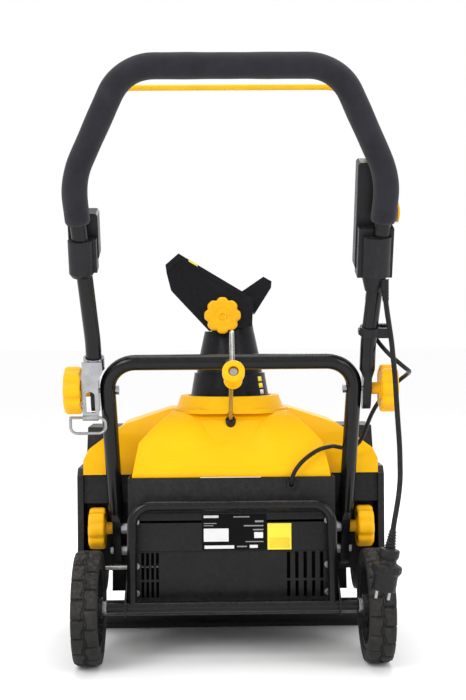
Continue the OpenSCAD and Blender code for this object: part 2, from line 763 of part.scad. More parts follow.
module mains_plug() color("#161616") at_plug() rotate_extrude() polygon(concat(
    [[0, -3], [4.6, -3]],
    [for (k = [0 : 4]) each [[6 + 0.6 * k, 5 * k], [6 + 0.6 * k, 5 * k + 3],
                             [5 + 0.6 * k, 5 * k + 3], [5 + 0.6 * k, 5 * k + 5]]],
    [[15, 27], [15.6, 30], [15.6, 38], [13, 44], [14, 48], [23, 52], [23, 62], [19.5, 66],
     [19, 90], [0, 90]]));

module plug_pins() color("#c4c6ca") at_plug() for (side = [-1, 1])
    translate([side * 9.5, 0, 90]) cylinder(h = 13, d = 4.8);

// ---- Knobs ----

module left_upper_knob() color("#f5b800") on_handle(pivot_s)
    translate([-237, 0, 0]) rotate([0, -90, 0]) star_knob(upper_knob_d, 28, 20, 13.6);
module right_upper_knob() color("#f5b800") on_handle(pivot_s)
    translate([237, 0, 0]) rotate([0, 90, 0]) star_knob(upper_knob_d, 28, 20, 13.6);
module left_lower_knob() color("#f5b800") on_handle()
    translate([-209, 0, 0]) rotate([0, -90, 0]) star_knob(lower_knob_d, 28, 20, 11.6);
module right_lower_knob() color("#f5b800") on_handle()
    translate([209, 0, 0]) rotate([0, 90, 0]) star_knob(lower_knob_d, 28, 20, 11.6);

// ---- Chute ----

module chute() color("#202022") stand() difference() {
    union() {
        translate([0, chute_y, 0]) rotate_extrude() polygon(concat(chute_profile,
            [for (k = [len(chute_profile) - 1 : -1 : 0])
                chute_profile[k] - [chute_wall, 0]]));
        for (side = [-1, 1]) difference() {
            translate([tilt_x, chute_y + side * 42.6, tilt_z]) rotate([side * 90, 0, 0])
                cylinder(h = 8, d = 26);
            translate([tilt_x, chute_y, 500]) cylinder(h = 100, r = 34.6);
        }
    }
    translate([tilt_x, chute_y, tilt_z]) rotate([90, 0, 0]) cylinder(h = 200, d = bore_d, center = true);
    translate([-80, chute_y - 30, 528]) cube([60, 60, 60]);
}

module chute_gear() color("#2a2a2c") stand() translate([0, chute_y, 365.2])
    linear_extrude(8.8) difference() {
        union() {
            circle(r = 61.5);
            for (k = [0 : 35]) rotate(10 * k) translate([0, -2]) square([63.5, 4]);
        }
        circle(r = 55);
    }

module deflector_pins() color("#b9bcc0") stand() {
    translate([tilt_x, chute_y - 36, tilt_z]) rotate([90, 0, 0]) cylinder(h = 32, d = bolt_d);
    translate([tilt_x, chute_y + 36, tilt_z]) rotate([-90, 0, 0]) cylinder(h = 14, d = bolt_d);
    translate([tilt_x, chute_y + 47, tilt_z]) rotate([-90, 0, 0]) cylinder(h = 5, d = 14, $fn = 6);
}

// The deflector is a channel over the chute's mouth, with a finger loop behind it
hood = [[-73, 105], [-95, 86], [-93, 71], [-86, 43], [-23, -25], [20, -22], [50, -18], [52, 28],
        [33, 41]];
module deflector() color("#202022") stand() translate([tilt_x, chute_y, tilt_z]) difference() {
    union() {
        for (side = [-1, 1])
            prism_y(hood, side > 0 ? channel_y : -channel_y - 3,
                    side > 0 ? channel_y + 3 : -channel_y);
        prism_y([[-73, 105], [-77, 101.5], [31.5, 37.2], [48, 26], [50, 5], [54, 5],
                 [52, 28], [33, 41]], -channel_y - eps, channel_y + eps);
        prism_y([[33, 41], [70, 66], [84, 58], [83, 47], [55, 3], [51, 5], [78.5, 48],
                 [79, 55.5], [70, 61], [36, 37.5]], -30, 30);
        prism_y([[33, 41], [70, 66], [84, 58], [83, 47], [55, 3], [51, 5]], -30, -27);
        prism_y([[-73, 105], [-95, 86], [-93, 71], [-82, 84], [-68, 93], [28, 34], [33, 41]],
                -channel_y - 4.5, -channel_y - 2);
    }
    rotate([90, 0, 0]) cylinder(h = 200, d = bore_d, center = true);
}

module deflector_knob() color("#f5b800") stand()
    translate([tilt_x, chute_y - 52, tilt_z]) rotate([90, 0, 0])
        star_knob(deflector_knob_d, 22, 18, 5.2);

// ---- Crank ----

module on_grip() on_crank() translate([234, 106, 0]) rotate([0, 0, grip_turn])
    rotate([0, 90, 0]) children();

module crank_rod() color("#8d9093") {
    on_crank() swept_bar(crank_path, crank_bends, crank_d);
    on_grip() translate([0, 0, 56]) cylinder(h = 2.5, d = 11);
    on_crank() rotate([0, 90, 0]) translate([0, 0, -9]) linear_extrude(5.8) union() {
        circle(r = 4.2);
        for (k = [0 : 5]) rotate(60 * k) translate([0, -1]) square([5.6, 2]);
    }
}

module crank_grip() color("#f5b800") on_grip() translate([0, 0, 14]) difference() {
    rotate_extrude() polygon([[0, 0], [12, 0], [13.5, 2], [13.5, 22], [16, 36], [16, 48],
                              [14.5, 50], [0, 50]]);
    translate([0, 0, -1]) cylinder(h = 80, d = crank_d + 0.2);
    translate([0, 0, 40]) cylinder(h = 20, d = 15);
}

auger_housing();
scraper_bar();
motor_housing();
rear_panel();
top_cover();
belt_cover();
right_side_cover();
motor();
drive_belt();
auger_bearings();
chute_retainer();
crank_bushing();
left_side_plate();
right_side_plate();
wheel_frame();
frame_spacers();
axle();
axle_sleeve();
axle_collars();
axle_caps();
lower_frame();
frame_bolts();
clamp_bolts();
panel_screws();
lead_grommet();
crank_guide();
motor_lead();
upper_handle();
foam_grip();
bail_bracket();
switch_box();
button_collar();
cord_clip();
cord_anchor();
mains_lead();
mains_plug();
plug_pins();
bail();
power_button();
anchor_loop();
left_upper_knob();
right_upper_knob();
left_lower_knob();
right_lower_knob();
auger_shaft();
auger_drum();
auger_paddles();
motor_rotor();
left_wheel();
left_tyre();
right_wheel();
right_tyre();
chute();
chute_gear();
deflector_pins();
deflector();
deflector_knob();
crank_rod();
crank_grip();
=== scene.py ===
"""Looks of a corded electric snow thrower: finishes, soft parts, leads, tyres, knobs and light.

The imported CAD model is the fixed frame. Blender's lengths are metres, and at() takes millimetres.
+X is the operator's right, +Y forward and +Z up.
"""
import json
from math import atan2, ceil, cos, exp, pi, radians, sin, tan

import bpy
from mathutils import Matrix, Vector


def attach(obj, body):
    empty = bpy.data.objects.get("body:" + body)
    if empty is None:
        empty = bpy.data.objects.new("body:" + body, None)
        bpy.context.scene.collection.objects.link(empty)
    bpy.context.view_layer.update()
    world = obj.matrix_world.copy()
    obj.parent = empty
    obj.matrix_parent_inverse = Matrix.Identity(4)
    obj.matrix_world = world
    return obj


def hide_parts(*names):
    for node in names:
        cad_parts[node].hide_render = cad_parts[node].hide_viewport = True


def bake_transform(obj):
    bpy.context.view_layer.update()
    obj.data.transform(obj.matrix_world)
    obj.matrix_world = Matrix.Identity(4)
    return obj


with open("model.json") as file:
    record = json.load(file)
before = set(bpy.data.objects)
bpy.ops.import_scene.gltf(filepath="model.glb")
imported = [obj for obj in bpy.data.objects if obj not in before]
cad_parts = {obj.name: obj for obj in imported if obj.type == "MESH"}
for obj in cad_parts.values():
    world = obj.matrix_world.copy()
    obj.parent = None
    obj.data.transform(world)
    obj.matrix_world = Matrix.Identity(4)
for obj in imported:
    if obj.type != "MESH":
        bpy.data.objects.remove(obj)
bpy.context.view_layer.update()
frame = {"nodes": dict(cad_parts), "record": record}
nodes = frame["nodes"]

# ---- Driving dimensions, as in the CAD model ----

MM = 0.001
AXLE_Y = -83.1
LEAN = radians(21)
KNOB_Y, KNOB_Z = 102.5, 200.2
PIVOT_S = 251.0
FOAM_D = 39.0
WHEEL_D = 180.0
WHEEL_W = 42.0
WHEEL_X = 228.0
AXLE_Z = WHEEL_D / 2
CRANK_SLOPE = radians(138.4)
CRANK_Y, CRANK_Z = 85.0, 374.0
CHUTE_Y = 160.0
TILT_X, TILT_Z = -12.0, 554.0
PLUG_TOP = (238.0, -118.0, 226.0)
PLUG_TILT = radians(9.6)


def at(x, y, z):
    """A point given in millimetres from the ground below the axle, in the part's frame."""
    return Vector((x, y + AXLE_Y, z)) * MM


def on_handle(x, s, n=0.0):
    """A point of the handle plane: s up the handle, n towards the operator."""
    return at(x, KNOB_Y - s * sin(LEAN) - n * cos(LEAN), KNOB_Z + s * cos(LEAN) - n * sin(LEAN))


def on_crank(u, v, w=0.0):
    """A point in the crank's plane: u up the rod, v down the arm."""
    c, s = cos(CRANK_SLOPE), sin(CRANK_SLOPE)
    return at(w, CRANK_Y + c * u - s * v, CRANK_Z + s * u + c * v)


# ---- Camera ----

SENSOR_WIDTH = 36.0
FOCAL_LENGTH = 61.6
CAMERA_PLACE = (-30, -1900, 513)
CAMERA_DOWN, CAMERA_ROLL, CAMERA_TURN = radians(0.48), radians(0.45), radians(-1.01)


def make_camera():
    cam_data = bpy.data.cameras.new("camera")
    cam_data.sensor_width = SENSOR_WIDTH
    cam_data.lens = FOCAL_LENGTH
    cam_data.clip_end = 120
    cam = bpy.data.objects.new("camera", cam_data)
    bpy.context.scene.collection.objects.link(cam)
    cam.location = at(*CAMERA_PLACE)
    cam.rotation_euler = (radians(90) - CAMERA_DOWN, CAMERA_ROLL, CAMERA_TURN)
    bpy.context.scene.camera = cam


make_camera()
bpy.context.scene.view_settings.view_transform = "Standard"

# ---- Mesh helpers ----

def new_piece(name, verts, faces, body, smooth=True):
    mesh = bpy.data.meshes.new(name)
    mesh.from_pydata([tuple(v) for v in verts], [], faces)
    mesh.validate()
    mesh.update()
    if smooth:
        mesh.shade_smooth()
    piece = bpy.data.objects.new(name, mesh)
    bpy.context.scene.collection.objects.link(piece)
    if body:
        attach(piece, body)
    return piece


def corner_points(path, bends, i, step=4.0):
    """The points that round off corner i of a flat path."""
    p = Vector(path[i])
    if bends[i] == 0:
        return [p]
    u = (p - Vector(path[i - 1])).normalized()
    v = (Vector(path[i + 1]) - p).normalized()
    turn = u.angle(v)
    side = 1 if u.x * v.y - u.y * v.x > 0 else -1
    start = p - u * bends[i] * tan(turn / 2)
    centre = start + Vector((-u.y, u.x)) * side * bends[i]
    first = atan2(start.y - centre.y, start.x - centre.x)
    steps = max(4, ceil(turn * bends[i] / step))
    return [centre + bends[i] * Vector((cos(first + side * turn * k / steps),
                                        sin(first + side * turn * k / steps)))
            for k in range(steps + 1)]


def rounded_path(path, bends, step=4.0):
    found = []
    for i in range(len(path)):
        found += corner_points(path, bends, i, step)
    return found


def resample(points, step):
    """Points a fixed step apart along a line of points."""
    lengths = [0.0]
    for a, b in zip(points, points[1:]):
        lengths.append(lengths[-1] + (b - a).length)
    count = max(2, ceil(lengths[-1] / step))
    found, k = [], 0
    for i in range(count + 1):
        want = lengths[-1] * i / count
        while k < len(points) - 2 and lengths[k + 1] < want:
            k += 1
        f = (want - lengths[k]) / max(1e-9, lengths[k + 1] - lengths[k])
        found.append(points[k].lerp(points[k + 1], min(1.0, max(0.0, f))))
    return found


def spline(points, per_span=6):
    """A Catmull-Rom curve through the points."""
    p = [points[0] * 2 - points[1]] + list(points) + [points[-1] * 2 - points[-2]]
    found = []
    for i in range(1, len(p) - 2):
        a, b, c, d = p[i - 1], p[i], p[i + 1], p[i + 2]
        for k in range(per_span):
            t = k / per_span
            found.append(0.5 * ((2 * b) + (c - a) * t + (2 * a - 5 * b + 4 * c - d) * t * t
                                + (3 * b - a - 3 * c + d) * t ** 3))
    found.append(p[-2].copy())
    return found


def swept(name, points, radii, body, sides=24):
    """A round tube along points; radii is one number or one for each point."""
    if not hasattr(radii, "__len__"):
        radii = [radii] * len(points)
    verts, faces = [], []
    normal = None
    for i, p in enumerate(points):
        t = (points[min(i + 1, len(points) - 1)] - points[max(i - 1, 0)]).normalized()
        if normal is None:
            normal = t.orthogonal()
        normal = (normal - t * normal.dot(t)).normalized()
        other = t.cross(normal)
        for k in range(sides):
            a = 2 * pi * k / sides
            verts.append(p + (normal * cos(a) + other * sin(a)) * radii[i])
    for i in range(len(points) - 1):
        for k in range(sides):
            a, b = i * sides + k, i * sides + (k + 1) % sides
            faces.append((a, b, b + sides, a + sides))
    faces.append(tuple(reversed(range(sides))))
    last = (len(points) - 1) * sides
    faces.append(tuple(last + k for k in range(sides)))
    return new_piece(name, verts, faces, body)


def lathe(name, profile, matrix, body, sides=48, wobble=None):
    """A profile of (radius, height) turned about local Z. wobble(r, z, angle) gives the radius."""
    verts, faces, rings = [], [], []
    for r, z in profile:
        if r < 1e-9:
            rings.append([len(verts)])
            verts.append(matrix @ Vector((0, 0, z)))
            continue
        ring = []
        for k in range(sides):
            a = 2 * pi * k / sides
            rr = wobble(r, z, a) if wobble else r
            ring.append(len(verts))
            verts.append(matrix @ Vector((rr * cos(a), rr * sin(a), z)))
        rings.append(ring)
    for low, high in zip(rings, rings[1:]):
        if len(low) == 1 and len(high) == 1:
            continue
        for k in range(sides):
            n = (k + 1) % sides
            if len(low) == 1:
                faces.append((low[0], high[n], high[k]))
            elif len(high) == 1:
                faces.append((low[k], low[n], high[0]))
            else:
                faces.append((low[k], low[n], high[n], high[k]))
    return new_piece(name, verts, faces, body)


def rounded_profile(points, radius, steps=4):
    """Rounds the corners of a (radius, height) profile."""
    found = [points[0]]
    for a, b, c in zip(points, points[1:], points[2:]):
        a, b, c = Vector(a), Vector(b), Vector(c)
        r = min(radius, (b - a).length * 0.45, (c - b).length * 0.45)
        start, end = b + (a - b).normalized() * r, b + (c - b).normalized() * r
        for k in range(steps + 1):
            t = k / steps
            found.append(tuple(start.lerp(b, t).lerp(b.lerp(end, t), t)))
    found.append(points[-1])
    return found


def plate(name, corners, thickness, normal, body):
    """A flat plate with the given corners, thickened along normal."""
    n = len(corners)
    up = Vector(normal).normalized() * thickness
    verts = list(corners) + [c + up for c in corners]
    faces = [tuple(reversed(range(n))), tuple(range(n, 2 * n))]
    faces += [(k, (k + 1) % n, n + (k + 1) % n, n + k) for k in range(n)]
    return new_piece(name, verts, faces, body, smooth=False)


# ---- Materials ----

def set_input(node, name, value):
    node.inputs[name].default_value = value


def finish_material(name, base, rough, metallic=0.0, grain=900.0, grain_depth=0.00004,
                    patch=14.0, patch_amount=0.18, rough_spread=0.12, wear_and_edge_highlight=0.0,
                    dust=0.0, dust_colour=(0.30, 0.28, 0.25), sheen=0.0, coat=0.0, cells=0.0,
                    specular=0.5):
    """A procedural finish: patchy colour and roughness, a fine grain, dust from above, and lighter edges
    that are partly wear and partly a painted edge highlight.
    """
    mat = bpy.data.materials.new(name)
    mat.use_nodes = True
    tree = mat.node_tree
    tree.nodes.clear()
    out = tree.nodes.new("ShaderNodeOutputMaterial")
    shader = tree.nodes.new("ShaderNodeBsdfPrincipled")
    tree.links.new(shader.outputs[0], out.inputs[0])
    set_input(shader, "Metallic", metallic)
    set_input(shader, "Sheen Weight", sheen)
    set_input(shader, "Coat Weight", coat)
    set_input(shader, "Coat Roughness", 0.12)
    set_input(shader, "Specular IOR Level", specular)
    coords = tree.nodes.new("ShaderNodeTexCoord")

    def noise(scale, detail=3.0, roughness=0.55):
        n = tree.nodes.new("ShaderNodeTexNoise")
        set_input(n, "Scale", scale)
        set_input(n, "Detail", detail)
        set_input(n, "Roughness", roughness)
        tree.links.new(coords.outputs["Object"], n.inputs["Vector"])
        return n.outputs["Fac"]

    def ramp(value, low, high, out_low, out_high):
        m = tree.nodes.new("ShaderNodeMapRange")
        for key, v in (("From Min", low), ("From Max", high), ("To Min", out_low), ("To Max", out_high)):
            set_input(m, key, v)
        tree.links.new(value, m.inputs["Value"])
        return m.outputs["Result"]

    def mix(factor, a, b):
        m = tree.nodes.new("ShaderNodeMix")
        m.data_type = "RGBA"
        tree.links.new(factor, m.inputs[0])
        for socket, v in ((m.inputs[6], a), (m.inputs[7], b)):
            if isinstance(v, tuple):
                socket.default_value = (*v, 1)
            else:
                tree.links.new(v, socket)
        return m.outputs[2]

    def product(a, b):
        m = tree.nodes.new("ShaderNodeMath")
        m.operation = "MULTIPLY"
        tree.links.new(a, m.inputs[0])
        tree.links.new(b, m.inputs[1])
        return m.outputs[0]

    large = noise(patch, 4.0)
    dark = tuple(c * (1 - patch_amount) for c in base)
    light = tuple(min(1.0, c * (1 + patch_amount)) for c in base)
    colour = mix(ramp(large, 0.3, 0.7, 0.0, 1.0), dark, light)
    if dust:
        geometry = tree.nodes.new("ShaderNodeNewGeometry")
        split = tree.nodes.new("ShaderNodeSeparateXYZ")
        tree.links.new(geometry.outputs["Normal"], split.inputs[0])
        upward = ramp(split.outputs["Z"], -0.1, 1.0, 0.15, 1.0)
        specks = ramp(noise(160.0, 6.0, 0.7), 0.45, 0.75, 0.0, dust)
        colour = mix(product(upward, specks), colour, dust_colour)
    # Convex edges are painted lighter: partly wear, partly a painted highlight along the edges.
    if wear_and_edge_highlight:
        geometry = tree.nodes.new("ShaderNodeNewGeometry")
        edge = ramp(geometry.outputs["Pointiness"], 0.515, 0.58, 0.0, wear_and_edge_highlight)
        patches = ramp(noise(90.0, 5.0), 0.42, 0.62, 0.0, 1.0)
        colour = mix(product(edge, patches), colour, tuple(min(1, c * 2.2) for c in base))
    tree.links.new(colour, shader.inputs["Base Color"])
    tree.links.new(ramp(noise(patch * 5, 5.0), 0.3, 0.7, max(0.03, rough - rough_spread / 2),
                        min(1.0, rough + rough_spread / 2)), shader.inputs["Roughness"])
    height = noise(grain, 3.0, 0.6)
    if cells:
        v = tree.nodes.new("ShaderNodeTexVoronoi")
        set_input(v, "Scale", cells)
        tree.links.new(coords.outputs["Object"], v.inputs["Vector"])
        height = product(height, ramp(v.outputs["Distance"], 0.0, 0.6, 0.2, 1.0))
    bump = tree.nodes.new("ShaderNodeBump")
    set_input(bump, "Strength", 1.0)
    set_input(bump, "Distance", grain_depth)
    tree.links.new(height, bump.inputs["Height"])
    tree.links.new(bump.outputs[0], shader.inputs["Normal"])
    return mat


YELLOW = (0.86, 0.455, 0.001)
MATERIALS = {
    "black_housing": dict(base=(0.011, 0.011, 0.012), rough=0.44, specular=0.17, grain=1400,
                          grain_depth=0.00010, dust=0.16, wear_and_edge_highlight=0.5),
    "yellow_cover": dict(base=YELLOW, rough=0.36, specular=0.16, grain=700, grain_depth=0.00003,
                         patch=9, patch_amount=0.06, dust=0.05, dust_colour=(0.50, 0.30, 0.05)),
    "panel": dict(base=(0.008, 0.008, 0.009), rough=0.30, specular=0.17, grain=1200,
                  grain_depth=0.00005, dust=0.10, wear_and_edge_highlight=0.4),
    "frame_tube": dict(base=(0.005, 0.005, 0.0055), rough=0.18, specular=0.17, grain=420,
                       grain_depth=0.00006, rough_spread=0.10, dust=0.05, wear_and_edge_highlight=0.3, coat=0.15),
    "foam": dict(base=(0.018, 0.0175, 0.023), rough=0.92, grain=2600, grain_depth=0.00035,
                 cells=1500, patch=30, patch_amount=0.22, rough_spread=0.06, sheen=0.12,
                 specular=0.15),
    "control_plastic": dict(base=(0.012, 0.012, 0.014), rough=0.38, specular=0.18, grain=1600,
                            grain_depth=0.00008, dust=0.08, wear_and_edge_highlight=0.4),
    "yellow_knob": dict(base=(0.84, 0.42, 0.002), rough=0.34, specular=0.2, grain=900,
                        grain_depth=0.00004, patch=40, patch_amount=0.07, dust=0.06,
                        dust_colour=(0.46, 0.28, 0.05)),
    "yellow_rod": dict(base=(0.80, 0.44, 0.004), rough=0.33, specular=0.25, grain=500,
                       grain_depth=0.00004, patch=30, patch_amount=0.08),
    "zinc": dict(base=(0.34, 0.345, 0.36), rough=0.34, metallic=1.0, grain=300, grain_depth=0.00003,
                 patch=60, patch_amount=0.16, rough_spread=0.22, wear_and_edge_highlight=0.2),
    "steel_rod": dict(base=(0.42, 0.41, 0.40), rough=0.30, metallic=1.0, grain=800,
                      grain_depth=0.00003, patch=50, patch_amount=0.2, rough_spread=0.2),
    "lead_rubber": dict(base=(0.008, 0.008, 0.009), rough=0.42, specular=0.18, grain=1500,
                        grain_depth=0.00005, patch=50, dust=0.12),
    "plug_rubber": dict(base=(0.010, 0.010, 0.011), rough=0.40, specular=0.18, grain=1500,
                        grain_depth=0.00007, patch=60, dust=0.15, wear_and_edge_highlight=0.4),
    "tyre": dict(base=(0.016, 0.0155, 0.015), rough=0.62, specular=0.18, grain=900,
                 grain_depth=0.00025, patch=26, patch_amount=0.35, dust=0.55,
                 dust_colour=(0.13, 0.12, 0.11), wear_and_edge_highlight=0.55),
    "wheel_plastic": dict(base=(0.012, 0.012, 0.013), specular=0.18, rough=0.45, grain=1200,
                          grain_depth=0.00008, dust=0.3),
    "chute_plastic": dict(base=(0.007, 0.007, 0.009), rough=0.30, specular=0.12, grain=1300,
                          grain_depth=0.00007, dust=0.08, wear_and_edge_highlight=0.35),
    "paddle": dict(base=(0.02, 0.02, 0.02), rough=0.6, grain=700, grain_depth=0.0001, dust=0.3),
    "motor_case": dict(base=(0.12, 0.12, 0.13), rough=0.4, grain=500, grain_depth=0.00005),
    "belt": dict(base=(0.02, 0.02, 0.02), rough=0.6, grain=900, grain_depth=0.0001),
}
made = {slot: finish_material(slot, **spec) for slot, spec in MATERIALS.items()}
made["label_dark"] = finish_material("label_dark", (0.002, 0.002, 0.002), 0.25, specular=0.08,
                                     grain=900)
made["label_white"] = finish_material("label_white", (0.72, 0.72, 0.72), 0.4, patch_amount=0.06)
made["label_grey"] = finish_material("label_grey", (0.25, 0.25, 0.25), 0.4, patch_amount=0.06)
made["label_deep_yellow"] = finish_material("label_deep_yellow", (0.80, 0.58, 0.01), 0.35)
made["label_yellow"] = finish_material("label_yellow", (0.90, 0.72, 0.03), 0.35, patch_amount=0.05)


def paint(piece, slot, look=None):
    """Gives a new piece the finish made for look, or the one for the record's slot when no look is
    given.
    """
    piece.data.materials.clear()
    piece.data.materials.append(made[look or slot])
    return piece


# ---- CAD nodes keep their shape and get finishes, softened edges and smooth curves ----

SOFT_EDGE = {"top_cover": 0.0016, "auger_housing": 0.0012, "motor_housing": 0.0016, "rear_panel": 0.0008,
             "switch_box": 0.0022, "bail_bracket": 0.0016, "deflector": 0.0009, "belt_cover": 0.0022,
             "right_side_cover": 0.0022, "cord_anchor": 0.0005, "cord_clip": 0.0008, "chute": 0.0006,
             "scraper_bar": 0.001, "left_side_plate": 0.0004, "right_side_plate": 0.0004}
for entry in frame["record"]["subparts"]:
    node = nodes[entry["node"]]
    node.data.materials.clear()
    node.data.materials.append(made[entry["material_slot"]])
    if "custom_normal" in node.data.attributes:
        node.data.attributes.remove(node.data.attributes["custom_normal"])
    node.data.shade_smooth()
    weld = node.modifiers.new("weld", "WELD")
    weld.merge_threshold = 1e-6
    bevel = node.modifiers.new("soft_edges", "BEVEL")
    bevel.width = SOFT_EDGE.get(entry["node"], 0.0004)
    bevel.segments = 2
    bevel.limit_method = "ANGLE"
    bevel.angle_limit = radians(28)
    bevel.use_clamp_overlap = True
    even = node.modifiers.new("even_normals", "WEIGHTED_NORMAL")
    even.keep_sharp = False

# ---- Leads: the routes repeat the CAD model's ----

MAINS_D = 8.0
MOTOR_LEAD_D = 7.0
MAINS_ROUTE = [(235, -66, 604), (236, -66, 590), (237, -66, 574), (239, -67, 555), (242, -69, 532),
               (245, -71, 508), (247, -74, 482), (249, -77, 456), (250, -80, 430), (251, -83, 404),
               (252, -87, 378), (253, -91, 352), (253, -95, 326), (252, -101, 302), (249, -107, 280),
               (245, -112, 260), (241, -116, 242), (238, -118, 226)]
MOTOR_ROUTE = [(216, -26, 592), (216, -12, 574), (218, -5, 554), (222, -3, 534), (227, 1, 520),
               (236, -2, 506), (245, -10, 494), (254, -18, 484), (264, -22, 475), (274, -18, 467),
               (282, -5, 462), (285, 12, 459), (283, 30, 454), (276, 47, 446), (265, 60, 434),
               (252, 67, 420), (241, 71, 404), (232, 74, 387), (225, 77, 369), (219, 80, 352),
               (209, 83, 338), (195, 83, 332), (181, 77, 334), (169, 66, 337), (158, 52, 337),
               (144, 44, 334), (129, 40, 326), (115, 37, 315), (104, 34, 302), (98, 33, 289),
               (97, 37, 278)]


def length_of(points):
    return sum((b - a).length for a, b in zip(points, points[1:]))


def make_plug():
    """The plug's own axis runs down from the lead's end."""
    place = Matrix.Translation(at(*PLUG_TOP)) @ Matrix.Rotation(pi + PLUG_TILT, 4, "Y")
    ribs = []
    for k in range(6):
        r, z = 5.4 + 0.5 * k, 4.3 * k
        ribs += [(r - 0.9, z), (r + 0.5, z + 0.7), (r + 0.5, z + 2.3), (r - 0.9, z + 3.0)]
    profile = [(0, -2.5), (4.3, -2.5)] + ribs + [
        (10, 26.5), (14.6, 27.5), (15.4, 29.5), (15.5, 37), (14.5, 39.5), (12.6, 43.5), (13.6, 47.5),
        (20.8, 51), (22.8, 53), (22.8, 60.5), (21, 63), (19.2, 65.5), (18.9, 88), (18, 89.8), (0, 89.8)]

    def grips(r, z, a):
        r, z = r / MM, z / MM
        if 53 < z < 61:
            r = r * (1 - 0.035 * (0.5 + 0.5 * cos(20 * a)) ** 2)
        elif 66 < z < 88:
            r = r * (1 - 0.05 * max(0.0, cos(2 * a)) ** 3)
        return r * MM

    body = [(r * MM, z * MM) for r, z in rounded_profile(profile, 0.9)]
    plug = paint(lathe("plug_body", body, place, "handle", 80, grips), "plug_rubber")
    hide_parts("mains_plug")
    return plug


def make_relief(name, points, radius, reach, body):
    """A tapered sleeve with moulded rings round the first part of a lead."""
    path, done = [points[0]], 0.0
    for a, b in zip(points, points[1:]):
        steps = 8
        for k in range(1, steps + 1):
            q = a.lerp(b, k / steps)
            done += (q - path[-1]).length
            if done > reach:
                break
            path.append(q)
        if done > reach:
            break
    radii = []
    for i in range(len(path)):
        f = i / (len(path) - 1)
        ring = 0.35 * MM if sin(2 * pi * 7 * f) > 0 else 0.0
        radii.append(radius * (1.75 - 0.60 * f) + ring)
    return paint(swept(name, path, radii, body, 24), "lead_rubber")


plug = make_plug()
mains_points = spline([at(*p) for p in MAINS_ROUTE])
mains = paint(swept("mains_cable", mains_points, MAINS_D / 2 * MM, "handle", 20), "lead_rubber")
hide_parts("mains_lead")
relief = make_relief("mains_strain_relief", mains_points, MAINS_D / 2 * MM, 0.034, "handle")

motor_points = spline([at(*p) for p in MOTOR_ROUTE])
motor_cable = paint(swept("motor_cable", motor_points, MOTOR_LEAD_D / 2 * MM, None, 20), "lead_rubber")
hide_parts("motor_lead")
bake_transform(motor_cable)

# ---- Foam grip ----

FOAM_PATH = [(230.95, 525), (236, 593), (156, 759), (-156, 759), (-236, 593), (-230.95, 525)]
FOAM_BENDS = [0, 130, 72, 72, 130, 0]


def make_foam():
    flat = resample([Vector((p.x, p.y, 0)) for p in rounded_path(FOAM_PATH, FOAM_BENDS)], 4.0)
    radii = []
    total = length_of(flat)
    done = 0.0
    for i, p in enumerate(flat):
        done += (p - flat[i - 1]).length if i else 0.0
        end = min(done, total - done)
        swell = 0.18 * sin(done / 23.0) + 0.12 * sin(done / 9.1 + 1.3)
        radii.append((FOAM_D / 2 - 0.35 + swell - 2.2 * exp(-end / 1.6)) * MM)
    foam = swept("foam_sleeve", [on_handle(p.x, p.y) for p in flat], radii, "handle", 40)
    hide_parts("foam_grip")
    return paint(foam, "foam")


make_foam()

# ---- Tyres ----

LUGS = 18


def tread_height(angle, w):
    """How far the tread stands up at an angle round the tyre and a place w across it, from -1 to 1."""
    seam = 0.10 * sin(angle * LUGS)
    across = abs(w - seam)
    row = 1 if w > seam else 0
    phase = (angle * LUGS / (2 * pi) + 0.5 * row) % 1.0
    edge = min(phase, 1 - phase)
    block = 1 / (1 + exp(-(edge - 0.045) * 90))
    groove = 1 - 0.9 * exp(-((across - 0.09) / 0.035) ** 2)
    rib = exp(-(across / 0.05) ** 4)
    shoulder = 0.75 + 0.25 / (1 + exp((abs(w) - 0.86) * 60))
    return max(block * groove * shoulder, 0.85 * rib)


def make_tyre(side, name, node, body):
    around, across = 432, 30
    outer, base = WHEEL_D / 2 - 0.4, WHEEL_D / 2 - 5.2
    half = WHEEL_W / 2 - 0.4
    walls = [(0.985, 81.5), (0.995, 76.0), (0.96, 70.0), (0.90, 68.3)]
    tread = [(-1 + 2 * j / across, None) for j in range(across + 1)]
    rings = [(-w, r) for w, r in reversed(walls)] + tread + walls
    verts, faces = [], []
    for w, wall_r in rings:
        x = side * WHEEL_X + w * half * (1 if wall_r else 0.985)
        for k in range(around):
            a = 2 * pi * k / around
            r = wall_r or base + (outer - base) * tread_height(a, w) - 1.6 * abs(w) ** 4
            verts.append(at(x, r * cos(a), AXLE_Z + r * sin(a)))
    count = len(rings)
    for j in range(count):
        for k in range(around):
            n, m = (k + 1) % around, (j + 1) % count
            faces.append((j * around + k, j * around + n, m * around + n, m * around + k))
    tyre = new_piece(name, verts, faces, body)
    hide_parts(node)
    return paint(tyre, "tyre")


make_tyre(-1, "tyre_left", "left_tyre", "wheel_left")
make_tyre(1, "tyre_right", "right_tyre", "wheel_right")

# ---- Hand knobs ----

LOBES = 8


def knob_wobble(radius):
    def wobble(r, z, a):
        near_rim = max(0.0, min(1.0, (r / radius - 0.55) / 0.35))
        notch = (0.5 - 0.5 * cos(LOBES * a)) ** 3
        return r * (1 - 0.125 * notch * near_rim)
    return wobble


